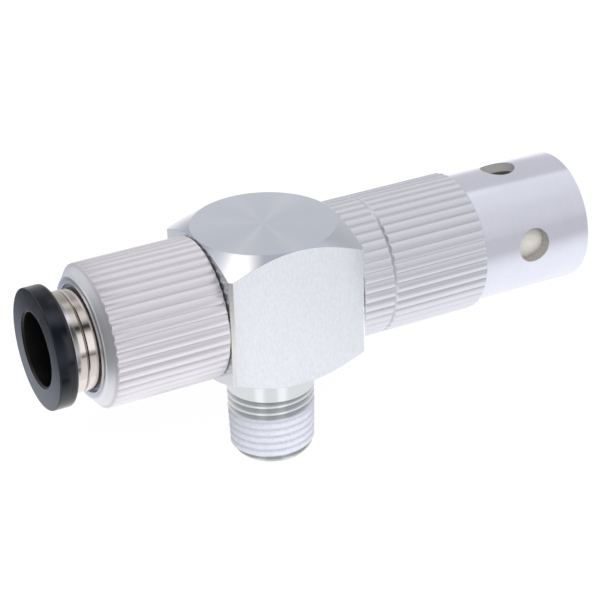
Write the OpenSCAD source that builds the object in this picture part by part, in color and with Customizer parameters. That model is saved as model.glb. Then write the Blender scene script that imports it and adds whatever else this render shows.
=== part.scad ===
// In-line vacuum ejector: a square aluminium block with a threaded vacuum stem, a push-in supply
// fitting on one side and a knurled silencer on the other. Millimetres, +Z up.
// Origin: on the stem's axis at the gauge plane of its thread. +X: along the flow.

/* [Body block] */
// Width of the square block, across its flats
block_w = 16.3; // [15.8:0.1:18]
// Height of the block, between its two turned faces
block_h = 16.3; // [15.8:0.1:18]
// Chamfer along the block's four upright edges
edge_chamfer = 0.5; // [0.3:0.1:0.8]
// Slope of the turned cones that cut the block's corners
cone_deg = 31; // [20:1:40]
// How far the turned faces stop short of the flats
cone_inset = 0.05; // [0.02:0.01:0.4]
// Diameter of the mixing chamber in the middle of the block
chamber_d = 9; // [8:0.1:9.6]

/* [Vacuum stem] */
// Crest diameter of the thread, which is its gauge diameter
gauge_d = 9.728; // [9.4:0.001:10]
// Distance from the thread's end to its gauge plane
gauge_len = 4; // [3.5:0.1:4.5]
// Distance from one thread crest to the next
thread_pitch = 0.907; // [0.8:0.001:1.1]
// Depth of the thread, crest to root
thread_depth = 0.581; // [0.4:0.001:0.6]
// Length of the threaded end, up to the plain neck
thread_len = 8.2; // [6.5:0.1:10]
// Length of the lead-in chamfer at the thread's end
chamfer_len = 1.06; // [0.8:0.02:1.3]
// Radial width of the lead-in chamfer
chamfer_w = 0.76; // [0.6:0.02:0.9]
// How far the plain neck stands above the thread's crests
neck_step = 0.161; // [0.155:0.001:0.6]
// Length of the plain neck
neck_len = 3.55; // [2.5:0.05:6]
// Length of the flare between the last root and the neck
neck_flare = 0.3; // [0.2:0.05:0.35]
// Diameter of the vacuum passage in the stem
vacuum_bore_d = 5.5; // [4:0.1:6]
// Chamfer at the mouth of the vacuum passage
bore_chamfer = 0.4; // [0.2:0.1:0.6]

/* [Knurl] */
// Number of straight ridges round each grip
knurl_teeth = 42; // [36:1:48]
// Depth of the knurl, crest to valley
knurl_depth = 0.2; // [0.12:0.01:0.25]
// Chamfer at the ends of the grips
grip_chamfer = 0.25; // [0.1:0.05:0.35]
// Turn of the supply collar's ridges
collar_phase_deg = 97.1; // [90:0.1:99]
// Turn of the exhaust head's ridges
head_phase_deg = 95.6; // [90:0.1:99]
// Turn of the silencer case's ridges
case_phase_deg = 93.2; // [90:0.1:99]

/* [Supply collar] */
// How far the collar's ridges lie below the block's flats
collar_step = 0.1; // [0:0.05:0.8]
// Length of the collar outside the block
collar_len = 14.2; // [13.6:0.1:20]
// Axial length of the cone at the collar's nose
nose_cone_len = 0.9; // [0.5:0.05:1.5]
// Radial width of the cone at the collar's nose
nose_cone_w = 1.15; // [0.5:0.05:1.3]
// Rounding between the nose cone and the nose face
nose_round = 0.25; // [0.1:0.05:0.3]
// Radial gap between the collar's mouth and the guide ring
mouth_gap = 0.4; // [0.2:0.05:0.6]
// Depth of the recess at the collar's mouth
mouth_depth = 0.6; // [0.3:0.1:1]
// Length of the tube's own seat behind the seal
tube_seat_len = 1.8; // [1:0.1:2.2]
// Radial width of the shoulder that stops the tube
tube_stop_w = 1; // [0.8:0.1:1.4]

/* [Spigots and sealing rings] */
// Diameter of the spigots that enter the block
spigot_d = 12; // [11:0.1:12.4]
// Length of the spigots that enter the block
spigot_len = 4.6; // [4.2:0.1:4.8]
// Chamfer at the ends of the spigots
spigot_chamfer = 0.3; // [0.1:0.1:0.5]
// Depth of the grooves that hold the sealing rings
groove_depth = 0.9; // [0.8:0.05:1]
// Width of the grooves that hold the sealing rings
groove_w = 1.3; // [1.2:0.05:1.5]
// Distance from a spigot's shoulder to its groove
groove_inset = 1.2; // [0.8:0.1:1.5]
// Radial clearance of a piece that is screwed or pressed in
fit_gap = 0.03; // [0.01:0.01:0.05]
// Clearance left round a sealing ring
seal_gap = 0.01; // [0.005:0.005:0.02]

/* [Push-in cartridge] */
// Outer diameter of the air tube that the fitting takes
tube_d = 8; // [7.8:0.05:8.2]
// Radial clearance round the air tube
tube_gap = 0.1; // [0.05:0.01:0.2]
// Wall of the guide ring
guide_wall = 0.7; // [0.6:0.05:0.8]
// Length of the guide ring that stands out of the collar
guide_out = 2.6; // [2.2:0.05:3.4]
// Length of the guide ring inside the collar
guide_in = 6.65; // [6:0.05:7.4]
// Chamfer at the ends of the guide ring
guide_chamfer = 0.15; // [0.05:0.05:0.2]
// Depth of the relief behind the guide ring's retaining shoulder
guide_relief = 0.25; // [0.2:0.01:0.3]
// Depth of the groove round the guide ring
guide_groove_depth = 0.14; // [0.05:0.01:0.25]
// Width of the groove round the guide ring
guide_groove_w = 0.32; // [0.2:0.02:0.5]
// Distance from the collar's face to the groove round the guide ring
guide_groove_x = 1.24; // [0.8:0.02:1.6]
// Length of the lip seal
seal_len = 2.5; // [2:0.1:2.8]
// How far the lip seal's two lips are smaller than the tube
lip_squeeze = 0.05; // [0.02:0.01:0.1]
// Depth of the channels between the lip seal's lips and at its ends
lip_relief = 0.4; // [0.3:0.05:0.5]
// Depth of the groove round the lip seal
seal_waist = 0.2; // [0.1:0.05:0.3]
// Length of the ring between the seal and the claws
claw_ring_len = 0.9; // [0.6:0.1:1.2]
// Length of the claws' unslotted base
claw_base_len = 0.9; // [0.6:0.1:1.2]
// Length of the claws' fingers
finger_len = 2.5; // [2:0.1:2.6]
// Thickness of the claws' sheet
finger_t = 0.4; // [0.3:0.05:0.45]
// How far the claws' teeth reach inside the tube's surface
claw_bite = 0.07; // [0.03:0.01:0.12]
// Length of the claws' teeth
tooth_len = 0.35; // [0.2:0.05:0.5]
// Bevel at the claws' tips
tooth_bevel = 0.15; // [0.1:0.05:0.2]
// Radial gap between the fingers and the guide ring
finger_gap = 0.15; // [0.1:0.05:0.2]
// Number of slots between the claws' fingers
claw_slots = 8; // [6:2:10]
// Width of the slots between the claws' fingers
claw_slot_w = 0.6; // [0.4:0.1:0.8]

/* [Release ring] */
// Wall of the release ring's sleeve
sleeve_wall = 0.72; // [0.6:0.01:0.8]
// Radial clearance of the sleeve in the guide ring
slide_gap = 0.08; // [0.05:0.01:0.1]
// Wall of the flange round its recess
flange_wall = 0.85; // [0.7:0.05:1.1]
// Thickness of the flange
flange_t = 2.17; // [2:0.01:2.6]
// Radial gap between the flange's recess and the guide ring
recess_gap = 0.3; // [0.2:0.05:0.4]
// Chamfer at the back edge of the flange
flange_chamfer = 0.45; // [0.2:0.05:0.6]
// Rounding at the front edge of the flange
flange_round = 0.25; // [0.1:0.05:0.4]
// Gap between the flange and the guide ring at rest
flange_gap = 0.15; // [0.1:0.05:0.3]
// Travel of the release ring when it is pressed
ring_travel = 1; // [0.8:0.05:1.1]
// Clearance that is left at the end of the travel
stop_gap = 0.1; // [0.1:0.05:0.2]
// Lead-in chamfer at the mouth of the release ring
lead_in = 0.25; // [0.1:0.05:0.4]
// Height of the retaining bead at the sleeve's inner end
bead_h = 0.16; // [0.1:0.02:0.2]
// Length of the retaining bead
bead_len = 0.7; // [0.5:0.05:0.9]

/* [Nozzle] */
// How far the nozzle's body is wider than the air passage, on the radius
nozzle_step = 0.4; // [0.3:0.1:0.6]
// Length of the nozzle's body in the collar's spigot
nozzle_seat_len = 3.6; // [3.2:0.1:3.6]
// Depth of the groove for the nozzle's sealing ring
nozzle_groove_depth = 0.6; // [0.5:0.05:0.7]
// Width of the groove for the nozzle's sealing ring
nozzle_groove_w = 1; // [0.9:0.05:1.2]
// How far the nozzle's inlet is smaller than the air passage, on the radius
inlet_step = 0.4; // [0.2:0.1:0.6]
// Length of the straight part of the nozzle's inlet
inlet_len = 0.6; // [0.4:0.1:1]
// Length of the nozzle's tapered nose
nozzle_nose_len = 3.3; // [2.6:0.1:3.6]
// Radial width of the shoulder at the root of the nose
nose_step = 1; // [0.8:0.1:1.2]
// Wall of the nozzle at its tip
tip_wall = 0.7; // [0.5:0.1:0.9]
// Diameter of the nozzle's throat
nozzle_throat_d = 1; // [0.6:0.1:1.2]
// Length of the nozzle's throat
nozzle_throat_len = 0.8; // [0.4:0.1:1.2]
// Length of the flare from the nozzle's throat to its tip
nozzle_flare_len = 1.6; // [1:0.1:2]
// Widening of the nozzle's flare, on the radius
nozzle_flare = 0.12; // [0.05:0.01:0.2]

/* [Diffuser tube] */
// Gap between the nozzle's tip and the diffuser's mouth
suction_gap = 1.6; // [1.2:0.1:1.9]
// Outer diameter of the diffuser tube
diffuser_d = 6; // [5.6:0.1:6.4]
// Diameter of the diffuser's throat
diffuser_throat_d = 1.8; // [1.4:0.1:2]
// Length of the diffuser's throat
diffuser_throat_len = 3; // [2:0.1:4]
// Length of the cone that leads into the diffuser's throat
diffuser_mouth_len = 1.4; // [1:0.1:1.8]
// Widening of the diffuser's mouth, on the radius
mouth_flare = 0.7; // [0.5:0.1:0.9]
// Wall of the diffuser at the rim of its mouth
mouth_wall = 0.2; // [0.1:0.05:0.3]
// How far the diffuser's nose is slimmer than the tube, on the radius
diffuser_nose_step = 0.4; // [0.2:0.1:0.6]
// Length of the bevel round the diffuser's mouth
diffuser_bevel_len = 0.6; // [0.4:0.1:0.8]
// Diameter of the diffuser's outlet
diffuser_outlet_d = 3.8; // [3:0.1:4.2]
// How far the seating flange stands above the tube
seat_flange_h = 0.7; // [0.5:0.1:0.9]
// Thickness of the seating flange
seat_flange_t = 1; // [0.8:0.1:1.5]

/* [Silencer] */
// How far the ridges of the head and the case lie below the block's flats
silencer_step = 0.15; // [0:0.05:0.8]
// Length of the exhaust head's grip
head_len = 4.02; // [3:0.02:6]
// Length of the head's spigot inside the case
case_spigot_len = 4.5; // [4:0.1:6]
// Length of the silencer case's grip
case_grip_len = 11.93; // [8:0.01:14]
// Whole length of the silencer case
case_len = 25.92; // [22:0.01:32]
// How far the case's plain end lies below its ridges
case_step = 0.58; // [0.4:0.02:0.8]
// Wall of the case's plain end
case_wall = 1.4; // [1.2:0.05:1.6]
// Thickness of the case's closed end
case_end_t = 2; // [1.5:0.1:3]
// Chamfer at the case's closed end
case_chamfer = 0.2; // [0.1:0.05:0.5]
// Number of exhaust holes round the case
hole_count = 4; // [3:1:6]
// Diameter of the exhaust holes
hole_d = 4; // [3:0.1:4]
// Distance from the case's closed end to the exhaust holes
hole_from_end = 7.47; // [5:0.01:9]
// Turn of the exhaust holes about the flow axis
hole_phase_deg = -5.4; // [-45:0.1:45]
// Radial gap between the porous element and the case
element_gap = 0.4; // [0.2:0.05:0.6]
// Wall of the porous element
element_wall = 2.02; // [1.4:0.02:2.4]

/* [Hidden] */
$fn = 96;
small_fn = 48;
// Overlap of shapes that are joined face to face
lap = 0.01;
// How far a cut runs past the surface that it opens
cut = 1;

// Heights along the stem
thread_end_z = -gauge_len;
neck_z = thread_end_z + thread_len;
block_z = neck_z + neck_len;
flow_z = block_z + block_h/2;

// Places along the flow axis, from the supply end to the exhaust end
collar_end = -block_w/2;
collar_front = collar_end - collar_len;
guide_front = collar_front - guide_out;
guide_end = collar_front + guide_in;
claw_base_end = guide_end + claw_base_len;
claw_ring_end = claw_base_end + claw_ring_len;
seal_end = claw_ring_end + seal_len;
tube_stop = seal_end + tube_seat_len;
claw_tip = guide_end - finger_len;
sleeve_tip = claw_tip - ring_travel - stop_gap;
bead_start = sleeve_tip - bead_len;
relief_start = bead_start - stop_gap;
flange_back = guide_front - flange_gap;
flange_front = flange_back - flange_t;
spigot_end = block_w/2 - spigot_len;
nozzle_back = -spigot_end - nozzle_seat_len;
nozzle_tip = -spigot_end + nozzle_nose_len;
diffuser_mouth = nozzle_tip + suction_gap;
head_end = block_w/2 + head_len;
case_spigot_end = head_end + case_spigot_len;
grip_end = head_end + case_grip_len;
case_end = head_end + case_len;
element_end = case_end - case_end_t;

// Places of the sealing rings
collar_seal_x = collar_end + groove_inset + groove_w/2;
nozzle_seal_x = (nozzle_back - spigot_end)/2;
head_seal_x = block_w/2 - groove_inset - groove_w/2;
case_seal_x = head_end + groove_inset + groove_w/2;

// Radii of the push-in fitting, from the air tube outwards
tube_r = tube_d/2;
tube_bore_r = tube_r + tube_gap;
sleeve_r = tube_bore_r + sleeve_wall;
guide_bore_r = sleeve_r + slide_gap;
relief_r = guide_bore_r + guide_relief;
guide_r = guide_bore_r + guide_wall;
cartridge_r = guide_r - fit_gap;
cartridge_bore_r = guide_r + fit_gap;
mouth_r = guide_r + mouth_gap;
recess_r = guide_r + recess_gap;
flange_r = recess_r + flange_wall;
claw_bite_r = tube_r - claw_bite;
claw_in_r = claw_bite_r + finger_t;
claw_out_r = claw_in_r + finger_t;
passage_r = tube_bore_r - tube_stop_w;
nozzle_r = passage_r + nozzle_step;

// Radii of the collar, the spigots and the silencer
collar_r = block_w/2 - collar_step;
nose_r = collar_r - nose_cone_w;
spigot_r = spigot_d/2;
block_bore_r = spigot_r + fit_gap;
silencer_r = block_w/2 - silencer_step;
case_r = silencer_r - case_step;
case_bore_r = case_r - case_wall;
case_spigot_r = case_bore_r - fit_gap;
diffuser_r = diffuser_d/2;
seat_flange_r = diffuser_r + seat_flange_h;
element_r = case_bore_r - element_gap;
element_bore_r = element_r - element_wall;

// Thread profile: the crest and the root are flats of what the flanks leave of the pitch
flank_deg = 27.5;
crest_r = gauge_d/2;
root_r = crest_r - thread_depth;
flank_w = thread_depth*tan(flank_deg);
thread_flat = thread_pitch/2 - flank_w;
crest_count = 1 + floor((thread_len - neck_flare - chamfer_len - thread_flat - flank_w)/thread_pitch);

// Radius of the round ridges that give a knurl its depth
function ridge_r(crest, depth, half_deg) =
    let (valley = crest - depth)
    (pow(valley, 2) - 2*valley*crest*cos(half_deg) + pow(crest, 2)) / (2*(crest - valley*cos(half_deg)));

// Turns a solid made about Z so that it lies along the flow axis
module on_flow() {
    translate([0, 0, flow_z]) rotate([0, 90, 0]) children();
}

// Solid of revolution about the flow axis, from points of [place along the axis, radius]
module turned(points) {
    on_flow() rotate_extrude() polygon([for (p = points) [p[1], p[0]]]);
}

// Straight-knurled bar about the flow axis
module knurled_bar(crest, start, end, phase_deg) {
    r = ridge_r(crest, knurl_depth, 180/knurl_teeth);
    on_flow() translate([0, 0, start]) linear_extrude(end - start) {
        circle(crest - r);
        for (i = [0 : knurl_teeth - 1])
            rotate(phase_deg + i*360/knurl_teeth) translate([crest - r, 0]) circle(r, $fn = small_fn);
    }
}

// Knurled grip with a chamfer at both ends
module knurled_grip(crest, start, end, phase_deg) {
    intersection() {
        knurled_bar(crest, start, end, phase_deg);
        turned([[start, 0], [start, crest - grip_chamfer], [start + grip_chamfer, crest],
            [start + grip_chamfer, crest + cut], [end - grip_chamfer, crest + cut],
            [end - grip_chamfer, crest], [end, crest - grip_chamfer], [end, 0]]);
    }
}

// Spigot from its shoulder to its chamfered end; the end may lie on either side of the shoulder
module spigot(r, shoulder, end) {
    side = sign(end - shoulder);
    turned([[shoulder - side*lap, 0], [shoulder - side*lap, r], [end - side*spigot_chamfer, r],
        [end, r - spigot_chamfer], [end, 0]]);
}

// Cutter for the groove of a sealing ring in a spigot of radius r
module seal_groove(r, depth, width, middle) {
    turned([[middle - width/2, r - depth], [middle - width/2, r + cut],
        [middle + width/2, r + cut], [middle + width/2, r - depth]]);
}

// Sealing ring between a groove's floor and the bore around it
module seal_ring(floor_r, bore_r, middle) {
    cord_r = (bore_r - floor_r)/2 - seal_gap;
    color("#1b1b1d") on_flow() translate([0, 0, middle])
        rotate_extrude() translate([(bore_r + floor_r)/2, 0]) circle(cord_r, $fn = small_fn);
}

// Half section of the stem, from its end face up into the block
module stem_outline() {
    top = thread_len + neck_len + cut;
    function crest(i) = chamfer_len + i*thread_pitch;
    polygon(concat(
        [[0, 0], [crest_r - chamfer_w, 0]],
        [for (i = [0 : crest_count - 1]) each [
            if (i > 0) [root_r, crest(i) - flank_w],
            [crest_r, crest(i)],
            [crest_r, crest(i) + thread_flat],
            [root_r, crest(i) + thread_flat + flank_w]
        ]],
        [[root_r, thread_len - neck_flare], [crest_r + neck_step, thread_len],
            [crest_r + neck_step, top], [0, top]]
    ));
}

// Square with chamfered corners
module block_outline() {
    edge = block_w/2 - edge_chamfer;
    polygon([for (q = [0 : 3], s = [-1, 1]) let (c = cos(90*q), n = sin(90*q))
        [c*block_w/2 - n*s*edge, n*block_w/2 + c*s*edge]]);
}

module body_block() {
    face_r = block_w/2 - cone_inset;
    drop = block_w*tan(cone_deg);
    color("#c9ccd2") difference() {
        union() {
            translate([0, 0, block_z]) intersection() {
                linear_extrude(block_h) block_outline();
                rotate_extrude() polygon([
                    [0, 0], [face_r, 0], [face_r + block_w, drop],
                    [face_r + block_w, block_h - drop], [face_r, block_h], [0, block_h]
                ]);
            }
            translate([0, 0, thread_end_z]) rotate_extrude() stem_outline();
        }
        // stepped bore for the two spigots, with the mixing chamber between them
        turned([[collar_end - cut, 0], [collar_end - cut, block_bore_r],
            [-spigot_end + fit_gap, block_bore_r], [-spigot_end + fit_gap, chamber_d/2],
            [spigot_end - fit_gap, chamber_d/2], [spigot_end - fit_gap, block_bore_r],
            [block_w/2 + cut, block_bore_r], [block_w/2 + cut, 0]]);
        // vacuum passage, from the stem's end into the chamber
        translate([0, 0, thread_end_z - cut])
            cylinder(h = flow_z - thread_end_z + cut, d = vacuum_bore_d);
        translate([0, 0, thread_end_z - lap])
            cylinder(h = bore_chamfer, d1 = vacuum_bore_d + 2*bore_chamfer, d2 = vacuum_bore_d);
    }
}

// Grip and turned nose of the collar, still solid
module collar_grip() {
    round_w = 2*nose_round;
    cone_end = collar_front + nose_round + nose_cone_len;
    intersection() {
        knurled_bar(collar_r, collar_front, collar_end, collar_phase_deg);
        turned([[collar_front, 0],
            for (a = [0 : 15 : 75])
                [collar_front + nose_round*(1 - cos(a)), nose_r - round_w*(1 - sin(a))],
            [collar_front + nose_round, nose_r], [cone_end, collar_r], [cone_end, collar_r + cut],
            [collar_end - grip_chamfer, collar_r + cut], [collar_end - grip_chamfer, collar_r],
            [collar_end, collar_r - grip_chamfer], [collar_end, 0]]);
    }
}

module supply_collar() {
    color("#c3c5cb") difference() {
        union() {
            collar_grip();
            spigot(spigot_r, collar_end, -spigot_end);
        }
        // mouth recess, cartridge bore, tube seat and air passage
        turned([[collar_front - cut, 0], [collar_front - cut, mouth_r],
            [collar_front + mouth_depth, mouth_r], [collar_front + mouth_depth, cartridge_bore_r],
            [seal_end, cartridge_bore_r], [seal_end, tube_bore_r], [tube_stop, tube_bore_r],
            [tube_stop, passage_r], [nozzle_back, passage_r], [nozzle_back, nozzle_r + fit_gap],
            [-spigot_end + cut, nozzle_r + fit_gap], [-spigot_end + cut, 0]]);
        seal_groove(spigot_r, groove_depth, groove_w, collar_seal_x);
    }
}

module collar_seal() {
    seal_ring(spigot_r - groove_depth, block_bore_r, collar_seal_x);
}

module guide_ring() {
    groove = collar_front - guide_groove_x;
    color("#d8d2c6") turned([
        [guide_front, guide_bore_r], [guide_front, guide_r - guide_chamfer],
        [guide_front + guide_chamfer, guide_r], [groove - guide_groove_w/2, guide_r],
        [groove, guide_r - guide_groove_depth], [groove + guide_groove_w/2, guide_r],
        [guide_end, guide_r], [guide_end, relief_r + guide_chamfer],
        [guide_end - guide_chamfer, relief_r], [relief_start, relief_r], [relief_start, guide_bore_r]
    ]);
}

module release_ring() {
    recess_end = flange_back - (ring_travel - flange_gap + stop_gap);
    color("#17181b") turned([
        [flange_front, tube_bore_r + lead_in],
        for (a = [0 : 30 : 60])
            [flange_front + flange_round*(1 - cos(a)), flange_r - flange_round*(1 - sin(a))],
        [flange_front + flange_round, flange_r], [flange_back - flange_chamfer, flange_r],
        [flange_back, flange_r - flange_chamfer], [flange_back, recess_r],
        [recess_end, recess_r], [recess_end, sleeve_r], [bead_start, sleeve_r],
        [bead_start, sleeve_r + bead_h], [bead_start + bead_len/2, sleeve_r + bead_h],
        [sleeve_tip, sleeve_r - bead_h], [sleeve_tip, tube_bore_r],
        [flange_front + lead_in, tube_bore_r]
    ]);
}

module lock_claws() {
    finger_out = relief_r - finger_gap;
    color("#b9b9bd") difference() {
        turned([
            [claw_tip, claw_bite_r + tooth_bevel], [claw_tip, claw_out_r], [guide_end, finger_out],
            [guide_end, cartridge_r], [claw_base_end, cartridge_r], [claw_base_end, claw_out_r],
            [guide_end + finger_t, finger_out - finger_t],
            [claw_tip + 2*tooth_len, claw_in_r], [claw_tip + tooth_len, claw_bite_r]
        ]);
        for (i = [0 : claw_slots/2 - 1])
            on_flow() rotate(i*360/claw_slots) translate([-guide_r, -claw_slot_w/2, claw_tip - cut])
                cube([2*guide_r, claw_slot_w, finger_len - finger_gap + cut]);
    }
}

module claw_ring() {
    color("#c8a75a") turned([[claw_base_end, claw_in_r], [claw_base_end, cartridge_r],
        [claw_ring_end, cartridge_r], [claw_ring_end, claw_in_r]]);
}

module tube_seal() {
    middle = (claw_ring_end + seal_end)/2;
    lip = seal_len/5;
    lip_r = tube_r - lip_squeeze;
    color("#1b1b1d") turned([
        [claw_ring_end, cartridge_r], [middle - lip/2, cartridge_r], [middle, cartridge_r - seal_waist],
        [middle + lip/2, cartridge_r], [seal_end, cartridge_r], [seal_end, lip_r + lip_relief],
        [seal_end - lip, lip_r], [middle, lip_r + lip_relief], [claw_ring_end + lip, lip_r],
        [claw_ring_end, lip_r + lip_relief]
    ]);
}

module nozzle() {
    throat_r = nozzle_throat_d/2;
    throat_end = nozzle_tip - nozzle_flare_len;
    inlet_r = passage_r - inlet_step;
    color("#c8a75a") difference() {
        turned([[nozzle_back, 0], [nozzle_back, nozzle_r], [-spigot_end, nozzle_r],
            [-spigot_end, nozzle_r - nose_step], [nozzle_tip, throat_r + tip_wall], [nozzle_tip, 0]]);
        turned([[nozzle_back - cut, 0], [nozzle_back - cut, inlet_r], [nozzle_back + inlet_len, inlet_r],
            [throat_end - nozzle_throat_len, throat_r], [throat_end, throat_r],
            [nozzle_tip + lap, throat_r + nozzle_flare], [nozzle_tip + lap, 0]]);
        seal_groove(nozzle_r, nozzle_groove_depth, nozzle_groove_w, nozzle_seal_x);
    }
}

module nozzle_seal() {
    seal_ring(nozzle_r - nozzle_groove_depth, nozzle_r + fit_gap, nozzle_seal_x);
}

module exhaust_head() {
    color("#c3c5cb") difference() {
        union() {
            knurled_grip(silencer_r, block_w/2, head_end, head_phase_deg);
            spigot(spigot_r, block_w/2, spigot_end);
            spigot(case_spigot_r, head_end, case_spigot_end);
        }
        // stepped bore for the diffuser tube and its seating flange
        turned([[spigot_end - cut, 0], [spigot_end - cut, seat_flange_r + fit_gap],
            [spigot_end + seat_flange_t, seat_flange_r + fit_gap],
            [spigot_end + seat_flange_t, diffuser_r + fit_gap],
            [case_spigot_end + cut, diffuser_r + fit_gap], [case_spigot_end + cut, 0]]);
        seal_groove(spigot_r, groove_depth, groove_w, head_seal_x);
        seal_groove(case_spigot_r, groove_depth, groove_w, case_seal_x);
    }
}

module head_seal() {
    seal_ring(spigot_r - groove_depth, block_bore_r, head_seal_x);
}

module diffuser_tube() {
    throat_r = diffuser_throat_d/2;
    throat_start = diffuser_mouth + diffuser_mouth_len;
    rim_r = throat_r + mouth_flare + mouth_wall;
    nose_r = diffuser_r - diffuser_nose_step;
    color("#c8a75a") difference() {
        turned([[diffuser_mouth, 0], [diffuser_mouth, rim_r], [diffuser_mouth + diffuser_bevel_len, nose_r],
            [spigot_end, nose_r], [spigot_end, seat_flange_r],
            [spigot_end + seat_flange_t, seat_flange_r], [spigot_end + seat_flange_t, diffuser_r],
            [case_spigot_end, diffuser_r], [case_spigot_end, 0]]);
        turned([[diffuser_mouth - lap, 0], [diffuser_mouth - lap, throat_r + mouth_flare],
            [throat_start, throat_r], [throat_start + diffuser_throat_len, throat_r],
            [case_spigot_end + lap, diffuser_outlet_d/2], [case_spigot_end + lap, 0]]);
    }
}

module case_seal() {
    seal_ring(case_spigot_r - groove_depth, case_bore_r, case_seal_x);
}

module silencer_case() {
    color("#c6c9cf") difference() {
        union() {
            knurled_grip(silencer_r, head_end, grip_end, case_phase_deg);
            turned([[grip_end - lap, 0], [grip_end - lap, case_r], [case_end - case_chamfer, case_r],
                [case_end, case_r - case_chamfer], [case_end, 0]]);
        }
        turned([[head_end - cut, 0], [head_end - cut, case_bore_r],
            [element_end, case_bore_r], [element_end, 0]]);
        for (i = [0 : hole_count - 1])
            translate([case_end - hole_from_end, 0, flow_z])
                rotate([hole_phase_deg + i*360/hole_count, 0, 0]) cylinder(h = case_r + cut, d = hole_d);
    }
}

module silencer_element() {
    color("#f2efe9") turned([[case_spigot_end, element_bore_r], [case_spigot_end, element_r],
        [element_end, element_r], [element_end, element_bore_r]]);
}

body_block();
supply_collar();
collar_seal();
guide_ring();
release_ring();
lock_claws();
claw_ring();
tube_seal();
nozzle();
nozzle_seal();
exhaust_head();
head_seal();
diffuser_tube();
case_seal();
silencer_case();
silencer_element();
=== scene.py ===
"""Looks of the in-line vacuum ejector, built around its packed construction model.

Pieces are modelled in millimetres about the flow axis or the stem's axis, then brought to metres.
"""
import math
import bpy
from mathutils import Matrix, Vector


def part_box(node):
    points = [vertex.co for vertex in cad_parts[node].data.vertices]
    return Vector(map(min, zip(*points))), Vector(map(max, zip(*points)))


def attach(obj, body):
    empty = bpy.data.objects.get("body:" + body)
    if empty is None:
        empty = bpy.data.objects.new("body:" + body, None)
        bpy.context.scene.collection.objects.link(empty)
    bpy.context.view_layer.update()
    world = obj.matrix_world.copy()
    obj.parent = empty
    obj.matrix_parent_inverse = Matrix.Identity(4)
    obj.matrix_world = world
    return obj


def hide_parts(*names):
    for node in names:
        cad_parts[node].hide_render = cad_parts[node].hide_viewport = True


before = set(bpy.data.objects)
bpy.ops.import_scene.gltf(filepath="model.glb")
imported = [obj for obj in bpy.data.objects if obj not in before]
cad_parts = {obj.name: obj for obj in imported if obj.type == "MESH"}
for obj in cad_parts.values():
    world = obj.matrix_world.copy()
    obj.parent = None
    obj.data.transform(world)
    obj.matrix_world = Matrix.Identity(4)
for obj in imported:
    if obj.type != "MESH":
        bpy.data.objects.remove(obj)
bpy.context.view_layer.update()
bpy.context.scene.view_settings.view_transform = "Standard"

MM = 0.001
ROUND = 192
FULL_TURN = 2*math.pi


# ---------------------------------------------------------------- sizes, from the frame

def reach(node):
    """First and last place along the flow, and the outer radius, of a turned node, in millimetres."""
    low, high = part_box(node)
    return low.x/MM, high.x/MM, (high.y - low.y)/2/MM


BLOCK_LOW, BLOCK_HIGH = (corner/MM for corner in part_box("body_block"))
HALF = BLOCK_HIGH.x
STEM_END = BLOCK_LOW.z
BLOCK_TOP = BLOCK_HIGH.z
FLOW_Z = (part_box("supply_collar")[0].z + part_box("supply_collar")[1].z)/2/MM
BLOCK_BOTTOM = 2*FLOW_Z - BLOCK_TOP

COLLAR_FRONT, SPIGOT_IN, COLLAR_R = reach("supply_collar")
GUIDE_FRONT, GUIDE_END, GUIDE_R = reach("guide_ring")
RING_FRONT, RING_TIP, FLANGE_R = reach("release_ring")
SPIGOT_OUT, CASE_SPIGOT_END, GRIP_R = reach("exhaust_head")
HEAD_END, CASE_END, _ = reach("silencer_case")
ELEMENT_END = reach("silencer_element")[1]
SEAL_END = reach("tube_seal")[1]
NOZZLE_BACK = reach("nozzle")[0]

# gap round what is pressed or screwed in, and how far a cutting shape reaches past what it cuts
FIT_GAP = 0.03
OVER = 1

# block, neck and bores
EDGE_CHAMFER = 0.5
EDGE_ROUND = 0.05
CONE_DEG = 31
CONE_INSET = 0.05
NECK_R = 5.025
NECK_FOOT_R = 4.35
CHAMBER_R = 4.5
VACUUM_BORE_R = 2.75
BORE_CHAMFER = 0.4

# thread: TAPER is what its radius gains in each millimetre of height, CREST_HEIGHT a crest's height over
# the stem's end, half a turn from the thread's start
THREAD_PITCH = 0.907
THREAD_DEPTH = 0.581
THREAD_LEN = 8.2
THREAD_START_DEG = -296.8
FLANK_SLOPE = math.tan(math.radians(27.5))
GAUGE_R = 4.864
TAPER = 1/32
CREST_HEIGHT = 1.18
END_FACE_R = 4.1
CHAMFER_LEN = 1.06
CHAMFER_DEPTH = 0.76

# knurled grips
TEETH = 42
KNURL_DEPTH = 0.2
GRIP_CHAMFER = 0.25
COLLAR_PHASE_DEG = 7.1
HEAD_PHASE_DEG = 5.6
CASE_PHASE_DEG = 3.2
GRIP_END = HEAD_END + 11.93

# spigots, and the groove of the sealing ring on each, measured from the shoulder
SPIGOT_R = 6.0
SPIGOT_CHAMFER = 0.3
GROOVE_START = 1.2
GROOVE_END = 2.5
GROOVE_DEPTH = 0.9

# nose and bores of the supply collar
NOSE_R = 6.9
NOSE_RIM_LEN = 0.25
NOSE_RIM_DROP = 0.5
NOSE_CONE_END = COLLAR_FRONT + 1.15
MOUTH_R = 6.0
MOUTH_DEPTH = 0.6
MOUTH_BREAK = 0.06
TUBE_R = 4.1
TUBE_STOP = SEAL_END + 1.8
AIR_PASSAGE_R = 3.1
NOZZLE_SEAT_R = 3.53

# bores of the exhaust head
DIFFUSER_BORE_R = 3.03
DIFFUSER_SEAT_R = 3.73
DIFFUSER_SEAT_LEN = 1

# plain end of the silencer case, and its exhaust holes
CASE_R = 7.42
CASE_WALL = 1.4
CASE_ROUND = 0.2
HOLE_X = CASE_END - 7.47
HOLE_R = 2
HOLE_TURN_DEG = -5.4

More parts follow.
